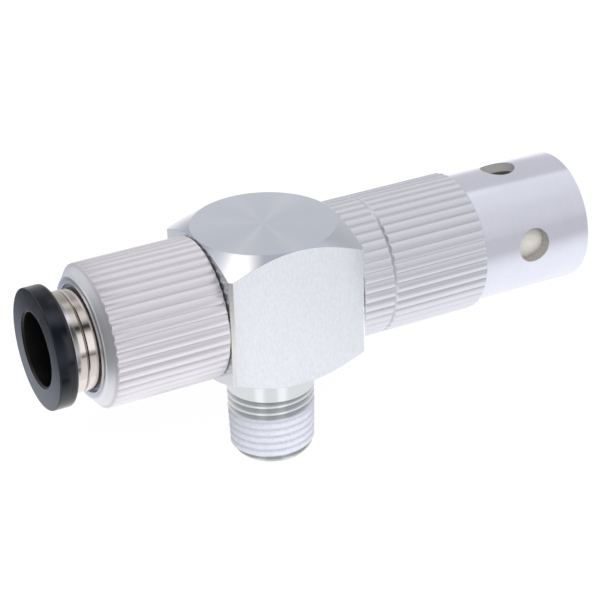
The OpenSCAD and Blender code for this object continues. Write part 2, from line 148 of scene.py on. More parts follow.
# guide ring
GUIDE_BORE_R = 4.9
GUIDE_RELIEF_R = 5.15
GUIDE_ROUND = 0.15
GUIDE_GROOVE_X = COLLAR_FRONT - 1.24
GUIDE_GROOVE_DEPTH = 0.13

# release ring
FLANGE_BACK = GUIDE_FRONT - 0.15
FRONT_ROUND = 0.12
BACK_ROUND = 0.45
BORE_ROUND = 0.25
RECESS_R = GUIDE_R + 0.3
RECESS_END = FLANGE_BACK - 0.95
SLEEVE_R = 4.82
BEAD_LEN = 0.7
BEAD_HEIGHT = 0.16
STOP_GAP = 0.1


# ---------------------------------------------------------------- modelling, as on a bench

def only(piece):
    """Makes this piece the one that the next operators act on."""
    if bpy.context.mode != "OBJECT":
        bpy.ops.object.mode_set(mode="OBJECT")
    bpy.ops.object.select_all(action="DESELECT")
    piece.select_set(True)
    bpy.context.view_layer.objects.active = piece
    return piece


def primitive(add, name, **size):
    """Adds a primitive with nothing else selected, and names it."""
    if bpy.context.mode != "OBJECT":
        bpy.ops.object.mode_set(mode="OBJECT")
    bpy.ops.object.select_all(action="DESELECT")
    add(**size)
    piece = bpy.context.object
    piece.name = name
    piece.data.name = name
    bpy.ops.object.transform_apply(location=True, rotation=True, scale=True)
    return piece


def edit(piece):
    """Opens a piece in edit mode with all of it selected."""
    only(piece)
    bpy.ops.object.mode_set(mode="EDIT")
    bpy.ops.mesh.select_mode(type="VERT")
    bpy.ops.mesh.select_all(action="SELECT")


def close(piece):
    """Merges doubles and turns the faces outwards."""
    edit(piece)
    bpy.ops.mesh.remove_doubles(threshold=0.0005)
    bpy.ops.mesh.normals_make_consistent(inside=False)
    bpy.ops.object.mode_set(mode="OBJECT")
    return piece


def drawn(name, points):
    """An open line through the points, drawn by extruding one vertex from each to the next."""
    piece = primitive(bpy.ops.mesh.primitive_plane_add, name, size=1, location=points[0])
    edit(piece)
    bpy.ops.mesh.merge(type="CENTER")
    for start, end in zip(points, points[1:]):
        step = Vector(end) - Vector(start)
        bpy.ops.mesh.extrude_vertices_move(TRANSFORM_OT_translate={"value": step})
    bpy.ops.object.mode_set(mode="OBJECT")
    return piece


def turned(name, outline, along="X", steps=ROUND):
    """A solid turned from its outline of [place along the axis, radius].

    A closed outline repeats its first point.
    """
    if along == "X":
        points = [(place, 0, FLOW_Z + radius) for place, radius in outline]
        centre, axis = (0, 0, FLOW_Z), (1, 0, 0)
    else:
        points = [(radius, 0, place) for place, radius in outline]
        centre, axis = (0, 0, 0), (0, 0, 1)
    piece = drawn(name, points)
    edit(piece)
    bpy.ops.mesh.spin(steps=steps, angle=FULL_TURN, center=centre, axis=axis)
    bpy.ops.object.mode_set(mode="OBJECT")
    return close(piece)


def modified(piece, kind, **settings):
    """Adds a modifier with these settings and applies it."""
    only(piece)
    modifier = piece.modifiers.new(kind.title(), kind)
    for name, value in settings.items():
        setattr(modifier, name, value)
    bpy.ops.object.modifier_apply(modifier=modifier.name)
    return piece


def combined(piece, operation, tool):
    """Joins, cuts or intersects the piece with a tool, which is used up."""
    modified(piece, "BOOLEAN", operation=operation, object=tool, solver="EXACT")
    bpy.data.objects.remove(tool)
    return piece


def arc(centre, radius, start_deg, end_deg, count):
    """Points of an arc in [place, radius], from one angle to another."""
    for i in range(count + 1):
        angle = math.radians(start_deg + (end_deg - start_deg)*i/count)
        yield (centre[0] + radius*math.cos(angle), centre[1] + radius*math.sin(angle))


def finished(piece, body, node, material, angle_deg=30):
    """Smooths a piece, brings it to metres, gives it its finish and lets it stand for its node.

    A piece without a node is added to the part.
    """
    only(piece)
    bpy.ops.object.shade_smooth_by_angle(angle=math.radians(angle_deg))
    bpy.ops.transform.resize(value=(MM, MM, MM), center_override=(0, 0, 0))
    bpy.ops.object.transform_apply(location=True, rotation=True, scale=True)
    piece.data.materials.clear()
    piece.data.materials.append(material)
    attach(piece, body)
    if node:
        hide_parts(node)
    return piece


# ---------------------------------------------------------------- finishes

class Wire:
    """A node's output that takes part in sums; each operator adds the node that does it."""

    def __init__(self, tree, socket):
        self.tree = tree
        self.socket = socket

    def maths(self, operation, *others):
        return self.tree.node("ShaderNodeMath", {"operation": operation}, [self, *others])

    def __add__(self, other):
        return self.maths("ADD", other)

    def __sub__(self, other):
        return self.maths("SUBTRACT", other)

    def __rsub__(self, other):
        return self.tree.node("ShaderNodeMath", {"operation": "SUBTRACT"}, [other, self])

    def __mul__(self, other):
        return self.maths("MULTIPLY", other)

    def __truediv__(self, other):
        return self.maths("DIVIDE", other)

    __radd__ = __add__
    __rmul__ = __mul__

    def size(self):
        return self.maths("ABSOLUTE")

    def rises(self, low, high):
        """0 below low, 1 above high, smooth in between; falls where low is the larger."""
        if low > high:
            return 1 - self.rises(high, low)
        settings = {"interpolation_type": "SMOOTHSTEP"}
        return self.tree.node("ShaderNodeMapRange", settings, [self, low, high, 0, 1])

    def within(self, low, high, soft):
        """1 between low and high and 0 outside, over soft edges."""
        return self.rises(low - soft, low + soft)*self.rises(high + soft, high - soft)

    def graded(self, stops):
        """A grey level read off at this place from stops of [place, level]."""
        first, last = stops[0][0], stops[-1][0]
        marks = [((place - first)/(last - first), (grey, grey, grey, 1)) for place, grey in stops]
        return self.tree.node("ShaderNodeValToRGB", {"stops": marks}, [(self - first)/(last - first)])


class Tree:
    """The nodes of a material or of the world, with an object's own places as x, y, z in millimetres."""

    def __init__(self, owner):
        owner.use_nodes = True
        self.owner = owner
        self.nodes, self.links = owner.node_tree.nodes, owner.node_tree.links
        self.nodes.clear()

    def node(self, kind, settings, values, out=0):
        """Adds a node: its settings first, then its inputs, in order or by name.

        None leaves an input alone.
        """
        made = self.nodes.new(kind)
        for key, value in settings.items():
            if key == "stops":
                marks = made.color_ramp.elements
                while len(marks) < len(value):
                    marks.new(1)
                for mark, (place, colour) in zip(marks, value):
                    mark.position, mark.color = place, colour
            else:
                setattr(made, key, value)
        for place, value in values.items() if isinstance(values, dict) else enumerate(values):
            if isinstance(value, Wire):
                self.links.new(value.socket, made.inputs[place])
            elif value is not None:
                made.inputs[place].default_value = value
        return Wire(self, made.outputs[out]) if len(made.outputs) else made

    def places(self):
        """Reads the object's own places, the radius about the flow axis and that about the stem's."""
        place = self.node("ShaderNodeTexCoord", {}, [], out="Object")
        split = [self.node("ShaderNodeSeparateXYZ", {}, [place], out=axis) for axis in range(3)]
        self.x, self.y, self.z = (part*(1/MM) for part in split)
        self.up = self.z - FLOW_Z
        self.r = (self.y*self.y + self.up*self.up).maths("SQRT")
        self.stem_r = (self.x*self.x + self.y*self.y).maths("SQRT")
        degree = math.degrees(1)
        self.about_flow = self.up.maths("ARCTAN2", self.y)*degree
        self.about_stem = self.y.maths("ARCTAN2", self.x)*degree

    def noise(self, x, y, z, detail=2.0, roughness=0.5):
        """Cloudy noise between about 0.25 and 0.75 of three places, each scaled in waves to a millimetre."""
        place = self.node("ShaderNodeCombineXYZ", {}, [x, y, z])
        settings = {"noise_dimensions": "3D"}
        return self.node("ShaderNodeTexNoise", settings, [place, None, 1.0, detail, roughness])

    def cloud(self, scale, detail=2.0, roughness=0.5, height=None):
        """The same noise in all directions, about the flow axis unless it gets a height of its own."""
        height = height or self.up
        return self.noise(self.x*scale, self.y*scale, height*scale, detail, roughness)

    def colours(self, share, first, second):
        """A colour between two others; each is three numbers or a wire."""
        first, second = (c if isinstance(c, Wire) else (*c, 1) for c in (first, second))
        return self.node("ShaderNodeMix", {"data_type": "RGBA"}, {0: share, 6: first, 7: second}, out=2)

    def seen(self):
        """1 for camera, glossy and transmission rays, and 0 for the rest."""
        rays = ("Is Camera Ray", "Is Glossy Ray", "Is Transmission Ray")
        camera, glossy, through = (self.node("ShaderNodeLightPath", {}, [], out=ray) for ray in rays)
        return camera.maths("MAXIMUM", glossy).maths("MAXIMUM", through)

    def mixed(self, share, first, second):
        return self.node("ShaderNodeMixShader", {}, [share, first, second])


class Finish(Tree):
    """A material of the part: constants sit on its one shader, and what varies is wired to it by coat()."""

    def __init__(self, name, **constants):
        super().__init__(bpy.data.materials.new(name))
        titles = {key: key.replace("_", " ").title().replace("Ior", "IOR") for key in constants}
        self.constants = {titles[key]: value for key, value in constants.items()}
        self.places()

    def coat(self, colour, roughness, height, depth_mm, metallic=None):
        """Wires the shader, with metallic only where it varies.

        Height is a wire from 0 to 1, which raises the surface by a depth in millimetres.
        """
        relief = {"Height": height, "Distance": depth_mm*MM, "Strength": 1.0}
        bump = self.node("ShaderNodeBump", {}, relief)
        sockets = {**self.constants, "Base Color": colour, "Roughness": roughness, "Normal": bump}
        if metallic is not None:
            sockets["Metallic"] = metallic
        self.node("ShaderNodeOutputMaterial", {}, [self.node("ShaderNodeBsdfPrincipled", {}, sockets)])
        return self.owner


# aluminium of the knurled pieces: turned surfaces and knurls, and painted shade for what lies in the dark
LILAC = (0.79, 0.80, 0.91)
GREY = (0.80, 0.81, 0.85)
BRIGHT_KNURL = (0.85, 0.82, 0.875)
DULL_KNURL = (0.735, 0.73, 0.795)
VALLEY_SHADE = (0.25, 0.25, 0.28)
LOWER_WALL_SHADED = (0.42, 0.40, 0.37)
UPPER_WALL_SHADED = (0.46, 0.45, 0.45)
SHADE_BLACK = (0.05, 0.05, 0.055)

# aluminium of the block and stem, from the shaded to the lit colour of each surface: painted light, with
# painted reflection on the corners
FLATS = ((0.66, 0.675, 0.73), (0.82, 0.83, 0.885))
TOP = ((0.70, 0.735, 0.82), (0.80, 0.82, 0.90))
CORNER_REFLECTION_BLUE = ((0.0, 0.045, 0.16), (0.0, 0.05, 0.26))
CORNER_REFLECTION_WHITE = (0.97, 0.97, 0.97)
CUT_EDGE = (0.96, 0.95, 0.95)
SHADOW_BESIDE_COLLAR = (0.34, 0.35, 0.30)
STEM = (0.86, 0.88, 0.90)
THREAD_ROOT_SHADE = (0.25, 0.25, 0.25)

# painted reflections that shimmer on the block's turned faces, as [degrees round the stem, level]
TOP_REFLECTION_LOBES = [
    (-180, 0.2), (-158, 0.1), (-146, 0.4), (-136, 1.0), (-126, 0.4), (-115, 0.05), (-103, 0.1),
    (-90, 0.6), (-78, 0.2), (-60, 0.1), (-30, 0.25), (0, 0.05), (18, 0.15), (42, 0.75), (58, 0.15),
    (75, 0.15), (90, 0.6), (104, 0.25), (120, 0.25), (146, 0.6), (165, 0.4), (180, 0.2),
]
CORNER_REFLECTION_SHEEN = [
    (-180, 0.50), (-162, 0.47), (-156, 0.47), (-151, 0.48), (-147, 0.55), (-143, 0.68), (-139, 0.9),
    (-135, 1.0), (-127, 1.0), (-122, 0.72), (-117, 0.47), (-104, 0.46), (-80, 0.57), (-63, 0.61),
    (-51, 0.63), (-27, 0.72), (-10, 0.62), (21, 0.86), (33, 0.76), (69, 0.75), (112, 1.0),
    (124, 0.92), (136, 0.79), (146, 0.66), (157, 0.56), (180, 0.50),
]


def knurled_metal(name, start, end, crest, tint, knurl_tint, seam, seam_shade):
    """Turned aluminium with a knurl between two places, with painted shade in its valleys, bores, holes and
    a seam.
    """
    f = Finish(name)
    rings = f.noise(f.x*9 + f.r*9, f.y*0.15, f.up*0.15)
    cloud = f.cloud(0.35)
    # masks: knurl, its valleys, walls of the exhaust holes, the collar's mouth, the seam and the nose
    knurl = f.x.within(start, end, 0.1)
    valley = f.r.rises(crest - KNURL_DEPTH*0.55, crest - KNURL_DEPTH)*f.x.within(start, end, 0.02)
    holes = f.x.within(HOLE_X - HOLE_R - OVER, HOLE_X + HOLE_R + OVER, 0.1)
    wall = f.r.rises(CASE_R - 0.02, CASE_R - 0.1)*holes
    upper = f.up.rises(4, 5)
    # painted shadow at the foot of the upper exhaust hole
    hole_shadow = f.r.rises(CASE_R - 0.95, CASE_R - 1.1)*wall*upper
    mouth = f.x.within(COLLAR_FRONT + MOUTH_BREAK + 0.01, COLLAR_FRONT + 1, 0.03)
    mouth = f.r.rises(MOUTH_R + 0.03, MOUTH_R - 0.03)*mouth
    gap = (f.x - seam).size().rises(0.14, 0.05)
    nose = f.x.rises(NOSE_CONE_END + 0.1, NOSE_CONE_END - 0.1)
    # colour, from the open surface to what lies deepest, which is darkened with painted shade
    darker, lighter = [c*0.92 for c in tint], [min(1, c*1.06) for c in tint]
    metal = f.colours(rings*0.6 + cloud*0.4, darker, lighter)
    metal = f.colours(knurl*0.8, metal, knurl_tint)
    # painted shade in the knurl's valleys
    metal = f.colours(valley*0.15, metal, VALLEY_SHADE)
    # walls of the exhaust holes: a duller drilled surface darkened with painted shade, the upper hole's
    # walls painted lighter
    metal = f.colours(wall, metal, f.colours(upper, LOWER_WALL_SHADED, UPPER_WALL_SHADED))
    # painted shade: the seam's gap, the collar's mouth recess and the foot of the upper exhaust hole
    shade = (gap*seam_shade).maths("MAXIMUM", mouth*0.2).maths("MAXIMUM", hole_shadow*0.95)
    metal = f.colours(shade, metal, SHADE_BLACK)
    rough = 0.12 + rings*0.08 + knurl*0.14 + nose*0.22 + wall*0.3
    return f.coat(metal, rough, rings, 0.002, metallic=1 - wall*0.85)


def block_metal():
    """Bright milled flats with a fine upright grain, a turned top and corners; painted light, reflections
    and shade.
    """
    f = Finish("milled_aluminium", metallic=1.0)
    upright = f.noise(f.x*4.5, f.y*4.5, f.z*2, 3.0, 0.6)
    rings = f.noise(f.stem_r*9, f.z*9, f.x*0.05)
    cloud = f.cloud(0.3, height=f.z)
    # masks: top, turned corners, stem, root of the thread and its lead-in chamfer
    face = HALF - CONE_INSET
    cone = BLOCK_TOP - (f.stem_r - face)*math.tan(math.radians(CONE_DEG))
    top = f.z.rises(BLOCK_TOP - 0.02, BLOCK_TOP - 0.005)
    corner = (f.z - cone).size().rises(0.05, 0.02)*f.stem_r.rises(face, face + 0.03)
    stem = f.z.rises(BLOCK_BOTTOM, BLOCK_BOTTOM - 0.02)
    thread_foot = STEM_END + CHAMFER_LEN
    root = (f.stem_r - GAUGE_R - f.z*TAPER).rises(-0.02, -0.22)
    root = root*f.z.within(thread_foot, STEM_END + THREAD_LEN, 0.03)
    lead = f.z.rises(thread_foot + 0.1, thread_foot - 0.1)
    turned_part = top.maths("MAXIMUM", stem).maths("MAXIMUM", corner)
    grain = f.node("ShaderNodeMix", {"data_type": "FLOAT"}, {0: turned_part, 2: upright, 3: rings})
    # flats: painted light makes them lighter towards their lower left; lighter on the cut edges; painted
    # shadow beside the collar
    # painted light: a gradient that brightens the flats towards their lower left
    painted_light = (0.5 - f.x*0.06 - f.up*0.06).rises(-0.2, 1.2)
    flats = f.colours(grain.rises(0.25, 0.75)*0.45 + painted_light*0.55, *FLATS)
    # painted shadow of the collar on the block's left face, above its foot
    collar_shadow = f.x.rises(0.02 - HALF, 0.005 - HALF)*f.up.rises(-7, -3)
    flats = f.colours(collar_shadow*0.5, flats, SHADOW_BESIDE_COLLAR)
    edge = (f.x.size() + f.y.size()).rises(2*HALF - EDGE_CHAMFER*0.8, 2*HALF - EDGE_CHAMFER*0.72)
    flats = f.colours(edge, flats, CUT_EDGE)
    # painted reflection on the turned top, in lobes round the stem
    reflection_lobes = f.about_stem.graded(TOP_REFLECTION_LOBES) + (cloud - 0.5)*0.15
    metal = f.colours(top, flats, f.colours(reflection_lobes, *TOP))
    # painted reflection on the turned corners, from blue to white round the stem
    blue = f.colours(f.about_stem.rises(-120, -100), *CORNER_REFLECTION_BLUE)
    reflection_sheen = f.about_stem.graded(CORNER_REFLECTION_SHEEN)
    metal = f.colours(corner, metal, f.colours(reflection_sheen, blue, CORNER_REFLECTION_WHITE))
    metal = f.colours(stem, metal, STEM)
    # painted shade in the thread's root and on its lead-in chamfer
    metal = f.colours(root*0.38 + lead*0.4, metal, THREAD_ROOT_SHADE)
    return f.coat(metal, 0.16 + grain*0.12, grain*(1 - top*0.8), 0.004)


def nickel():
    """Warm bright plating, with painted shade in the guide ring's groove."""
    f = Finish("nickel_plate", metallic=1.0)
    rings = f.noise(f.x*12, f.y*0.2, f.up*0.2)
    plate = f.colours(f.cloud(0.6), (0.76, 0.70, 0.66), (0.82, 0.76, 0.71))
    behind_nose = f.x.rises(GUIDE_FRONT + 0.6, GUIDE_FRONT + 0.7)
    groove = f.r.rises(GUIDE_R - 0.02, GUIDE_R - 0.11)*behind_nose
    # painted shade in the groove behind the nose
    plate = f.colours(groove*0.7, plate, (0.20, 0.17, 0.15))
    return f.coat(plate, 0.03 + rings*0.05, rings, 0.002)


def black_plastic():
    """Glossy black resin of the release ring, dull in its bore, which is painted pure black as shade."""
    f = Finish("black_plastic", specular_ior_level=0.5)
    cloud = f.cloud(0.5)
    bore = f.r.rises(TUBE_R + 0.3, TUBE_R + 0.2)
    resin = f.colours(cloud, (0.002, 0.003, 0.006), (0.005, 0.007, 0.012))
    # painted shade: the bore is pure black
    resin = f.colours(bore, resin, (0.0, 0.0, 0.0))
    return f.coat(resin, 0.1 + cloud*0.08 + bore*0.25, f.cloud(14), 0.0015)


def sealing_coat():
    """Dry blotchy sealant with fine grains."""
    f = Finish("sealing_coat", specular_ior_level=0.4)
    blotch = f.cloud(3.5, 4.0, height=f.z)
    grains = f.cloud(9, 3.0, height=f.z)
    paste = f.colours(blotch.rises(0.3, 0.7), (0.71, 0.725, 0.80), (0.79, 0.80, 0.86))
    return f.coat(paste, 0.6 + grains*0.25, grains, 0.03)


def porous_white():
    """White sintered beads of the silencer element."""
    f = Finish("porous_white", specular_ior_level=0.3)
    grains = f.cloud(7, 4.0, 0.6)
    beads = f.colours(grains*0.7 + f.cloud(0.8)*0.3, (0.86, 0.83, 0.79), (1.0, 0.98, 0.95))
    return f.coat(beads, 0.75 + grains*0.2, grains, 0.05)


def turned_inner(name, low, high, metallic, rough):
    """A plain turned or moulded finish for the pieces inside."""
    f = Finish(name, metallic=metallic)
    rings = f.noise(f.x*8 + f.r*8, f.y*0.2, f.up*0.2)
    colour = f.colours(rings*0.5 + f.cloud(0.7)*0.5, low, high)
    return f.coat(colour, rough + rings*0.12, rings, 0.003)


# ---------------------------------------------------------------- knurled and turned pieces

def ridges(name, crest, phase_deg, start, end):
    """A straight-knurled bar, drawn ridge by ridge and pulled to length along the flow."""
    valley = crest - KNURL_DEPTH
    half = math.pi/TEETH
    # radius and half sweep of the arc over a ridge, which joins its two valleys through its crest
    radius = (valley**2 - 2*valley*crest*math.cos(half) + crest**2)/(2*(crest - valley*math.cos(half)))
    reach_deg = math.degrees(math.atan2(valley*math.sin(half), valley*math.cos(half) - crest + radius))
    points = []
    for tooth in range(TEETH):
        turn = math.radians(phase_deg) + tooth*2*half
        for out, across in list(arc((crest - radius, 0), radius, -reach_deg, reach_deg, 8))[:-1]:
            y = -out*math.sin(turn) - across*math.cos(turn)
            z = out*math.cos(turn) - across*math.sin(turn)
            points.append((start, y, FLOW_Z + z))
    piece = drawn(name, points)
    edit(piece)
    bpy.ops.mesh.edge_face_add()
    bpy.ops.mesh.extrude_region_move(TRANSFORM_OT_translate={"value": (end - start, 0, 0)})
    bpy.ops.object.mode_set(mode="OBJECT")
    return close(piece)


def grip(start, end, crest):
    """Outline of a chamfered grip, which stands clear of the ridged bar that it is cut to."""
    inner, outer = start + GRIP_CHAMFER, end - GRIP_CHAMFER
    return [
        (start, crest - GRIP_CHAMFER), (inner, crest), (inner, crest + OVER),
        (outer, crest + OVER), (outer, crest), (end, crest - GRIP_CHAMFER),
    ]


def spigot(shoulder, end, radius):
    """Outline of a spigot from its shoulder to its chamfered end, with the groove of its sealing ring."""
    way = math.copysign(1, end - shoulder)
    near, far = shoulder + way*GROOVE_START, shoulder + way*GROOVE_END
    bottom = radius - GROOVE_DEPTH
    return [
        (shoulder, radius), (near, radius), (near, bottom), (far, bottom), (far, radius),
        (end - way*SPIGOT_CHAMFER, radius), (end, radius - SPIGOT_CHAMFER),
    ]


def collar():
    """Supply collar: knurled grip, turned nose, and the bores that hold the cartridge."""
    rim = [math.radians(a) for a in range(0, 91, 10)]
    seat_r = GUIDE_R + FIT_GAP
    mouth_end = COLLAR_FRONT + MOUTH_DEPTH
    piece = turned("supply_collar_turned", [
        (COLLAR_FRONT, MOUTH_R + MOUTH_BREAK),
        *((COLLAR_FRONT + NOSE_RIM_LEN*(1 - math.cos(a)), NOSE_R - NOSE_RIM_DROP*(1 - math.sin(a)))
          for a in rim),
        (NOSE_CONE_END, COLLAR_R), (NOSE_CONE_END, COLLAR_R + OVER),
        *grip(NOSE_CONE_END, -HALF, COLLAR_R)[3:],
        *spigot(-HALF, SPIGOT_IN, SPIGOT_R),
        (SPIGOT_IN, NOZZLE_SEAT_R), (NOZZLE_BACK, NOZZLE_SEAT_R), (NOZZLE_BACK, AIR_PASSAGE_R),
        (TUBE_STOP, AIR_PASSAGE_R), (TUBE_STOP, TUBE_R), (SEAL_END, TUBE_R), (SEAL_END, seat_r),
        (mouth_end, seat_r), (mouth_end, MOUTH_R), (COLLAR_FRONT + MOUTH_BREAK, MOUTH_R),
        (COLLAR_FRONT, MOUTH_R + MOUTH_BREAK),
    ])
    bar = ridges("collar_ridges", COLLAR_R, COLLAR_PHASE_DEG, COLLAR_FRONT - OVER, SPIGOT_IN + OVER)
    return combined(piece, "INTERSECT", bar)


def head():
    """Exhaust head: a short knurled grip with a spigot on either side."""
    seat_end = SPIGOT_OUT + DIFFUSER_SEAT_LEN
    piece = turned("exhaust_head_turned", [
        (SPIGOT_OUT, DIFFUSER_SEAT_R),
        *reversed(spigot(HALF, SPIGOT_OUT, SPIGOT_R)),
        *grip(HALF, HEAD_END, GRIP_R),
        *spigot(HEAD_END, CASE_SPIGOT_END, CASE_R - CASE_WALL - FIT_GAP),
        (CASE_SPIGOT_END, DIFFUSER_BORE_R), (seat_end, DIFFUSER_BORE_R), (seat_end, DIFFUSER_SEAT_R),
        (SPIGOT_OUT, DIFFUSER_SEAT_R),
    ])
    bar = ridges("head_ridges", GRIP_R, HEAD_PHASE_DEG, SPIGOT_OUT - OVER, CASE_SPIGOT_END + OVER)
    return combined(piece, "INTERSECT", bar)


def case():
    """Silencer case: knurled grip, plain closed end, and its cross-drilled exhaust holes."""
    bore = CASE_R - CASE_WALL
    centre = (CASE_END - CASE_ROUND, CASE_R - CASE_ROUND)
    piece = turned("silencer_case_turned", [
        (HEAD_END, bore), *grip(HEAD_END, GRIP_END, GRIP_R), (GRIP_END, CASE_R),
        *arc(centre, CASE_ROUND, 90, 0, 5),
        (CASE_END, 0), (ELEMENT_END, 0), (ELEMENT_END, bore), (HEAD_END, bore),
    ])
    bar = ridges("case_ridges", GRIP_R, CASE_PHASE_DEG, HEAD_END - OVER, CASE_END + OVER)
    combined(piece, "INTERSECT", bar)
    # length of the drill, and how far out from the flow axis its middle is
    drill_len, drill_out = 5, 6.5
    for side in range(4):
        turn = math.radians(HOLE_TURN_DEG + 90*side)
        where = (HOLE_X, -drill_out*math.sin(turn), FLOW_Z + drill_out*math.cos(turn))
        drill = primitive(bpy.ops.mesh.primitive_cylinder_add, "drill", vertices=96, radius=HOLE_R,
                          depth=drill_len, location=where, rotation=(turn, 0, 0))
        combined(piece, "DIFFERENCE", drill)
    return piece


def guide():
    """Nickel-plated guide ring with a groove round its nose."""
    relief_start = RING_TIP - BEAD_LEN - STOP_GAP
    groove_r = GUIDE_R - GUIDE_GROOVE_DEPTH
    # half widths of the groove at its opening and on its floor
    opening, floor = 0.17, 0.03
    nose = (GUIDE_FRONT + GUIDE_ROUND, GUIDE_R - GUIDE_ROUND)
    return turned("guide_ring_plated", [
        (GUIDE_FRONT, GUIDE_BORE_R), (GUIDE_FRONT, nose[1]), *arc(nose, GUIDE_ROUND, 160, 90, 4),
        (GUIDE_GROOVE_X - opening, GUIDE_R), (GUIDE_GROOVE_X - floor, groove_r),
        (GUIDE_GROOVE_X + floor, groove_r), (GUIDE_GROOVE_X + opening, GUIDE_R), (GUIDE_END, GUIDE_R),
        (GUIDE_END, GUIDE_RELIEF_R + GUIDE_ROUND), (GUIDE_END - GUIDE_ROUND, GUIDE_RELIEF_R),
        (relief_start, GUIDE_RELIEF_R), (relief_start, GUIDE_BORE_R), (GUIDE_FRONT, GUIDE_BORE_R),
    ])


def press_ring():
    """Black release ring: flange with rounded edges, sleeve and retaining bead."""
    bead_start = RING_TIP - BEAD_LEN
    bore = (RING_FRONT + BORE_ROUND, TUBE_R + BORE_ROUND)
    front = (RING_FRONT + FRONT_ROUND, FLANGE_R - FRONT_ROUND)
    back = (FLANGE_BACK - BACK_ROUND, FLANGE_R - BACK_ROUND)
    return turned("release_ring_moulded", [
        (bore[0], TUBE_R), *arc(bore, BORE_ROUND, 255, 195, 4),
        (RING_FRONT, bore[1]), (RING_FRONT, bore[1] + 0.02), (RING_FRONT, front[1] - 0.02),
        *arc(front, FRONT_ROUND, 180, 90, 8),
        (back[0], FLANGE_R), *arc(back, BACK_ROUND, 75, 15, 4), (FLANGE_BACK, back[1]),
        (FLANGE_BACK, RECESS_R), (RECESS_END, RECESS_R), (RECESS_END, SLEEVE_R),
        (bead_start, SLEEVE_R), (bead_start, SLEEVE_R + BEAD_HEIGHT),
        (bead_start + BEAD_LEN/2, SLEEVE_R + BEAD_HEIGHT), (RING_TIP, SLEEVE_R - BEAD_HEIGHT),
        (RING_TIP, TUBE_R), (bore[0], TUBE_R),
    ])


# ---------------------------------------------------------------- block and threaded stem

def tapered(piece):
    """Gives a straight stem piece the taper of its thread, about the gauge plane."""
    factor = TAPER/GAUGE_R*piece.dimensions.z
    return modified(piece, "SIMPLE_DEFORM", deform_method="TAPER", deform_axis="Z", factor=factor)


def wound(name, profile, turns, first_height):
    """A profile of [radius, height] wound up the stem as a right-hand helix."""
    turn = math.radians(THREAD_START_DEG)
    points = [(r*math.cos(turn), r*math.sin(turn), first_height + h) for r, h in profile]
    return modified(drawn(name, points), "SCREW", axis="Z", angle=FULL_TURN, screw_offset=THREAD_PITCH,
                    iterations=turns, steps=96, render_steps=96, use_smooth_shade=False,
                    use_merge_vertices=False)


def lead_in(name, radius, top):
    """A round bar from the stem's end up to a height, with the thread's lead-in cone at its foot."""
    cone_end = STEM_END + OVER*CHAMFER_LEN/CHAMFER_DEPTH
    return turned(name, [
        (STEM_END, 0), (STEM_END, radius), (cone_end, radius + OVER), (top, radius + OVER), (top, 0),
    ], along="Z")


def threaded_stem():
    """Root cylinder with the helical ridge on it, trimmed by the lead-in chamfer, and tapered."""
    root = GAUGE_R - THREAD_DEPTH
    flank = THREAD_DEPTH*FLANK_SLOPE
    flat = THREAD_PITCH/2 - flank
    sunk = 0.12
    wide = flat/2 + flank + sunk*FLANK_SLOPE
    foot = root - sunk
    tooth = [(foot, -wide), (GAUGE_R, -flat/2), (GAUGE_R, flat/2), (foot, wide), (foot, -wide)]
    first_height = STEM_END + CREST_HEIGHT - THREAD_PITCH*2.5
    ridge = wound("thread_ridge", tooth, turns=11, first_height=first_height)
    close(ridge)
    edit(ridge)
    bpy.ops.mesh.select_all(action="DESELECT")
    bpy.ops.mesh.select_non_manifold(extend=False)
    bpy.ops.mesh.fill_holes(sides=0)
    bpy.ops.object.mode_set(mode="OBJECT")
    close(ridge)
    past_thread = 0.8
    low, high = STEM_END - 2*OVER, STEM_END + THREAD_LEN + past_thread
    core = turned("thread_root", [(low, 0), (low, root), (high, root), (high, 0)], along="Z")
    combined(core, "UNION", ridge)
    tapered(core)
    into_neck = 0.15
    trim = lead_in("thread_trim", END_FACE_R, STEM_END + THREAD_LEN + into_neck)
    return combined(core, "INTERSECT", trim)


def chamfered_cube():
    """The block's square bar, its four upright edges cut off."""
    cube = primitive(bpy.ops.mesh.primitive_cube_add, "block_and_stem", size=2*HALF,
                     location=(0, 0, FLOW_Z))
    edit(cube)
    bpy.ops.mesh.select_mode(type="EDGE")
    bpy.ops.mesh.select_all(action="DESELECT")
    bpy.ops.object.mode_set(mode="OBJECT")
    for edge in cube.data.edges:
        a, b = (cube.data.vertices[i].co for i in edge.vertices)
        edge.select = abs(a.z - b.z) > HALF
    only(cube)
    bpy.ops.object.mode_set(mode="EDIT")
    bpy.ops.mesh.bevel(offset=EDGE_CHAMFER, offset_type="WIDTH", segments=1)
    bpy.ops.object.mode_set(mode="OBJECT")
    return cube


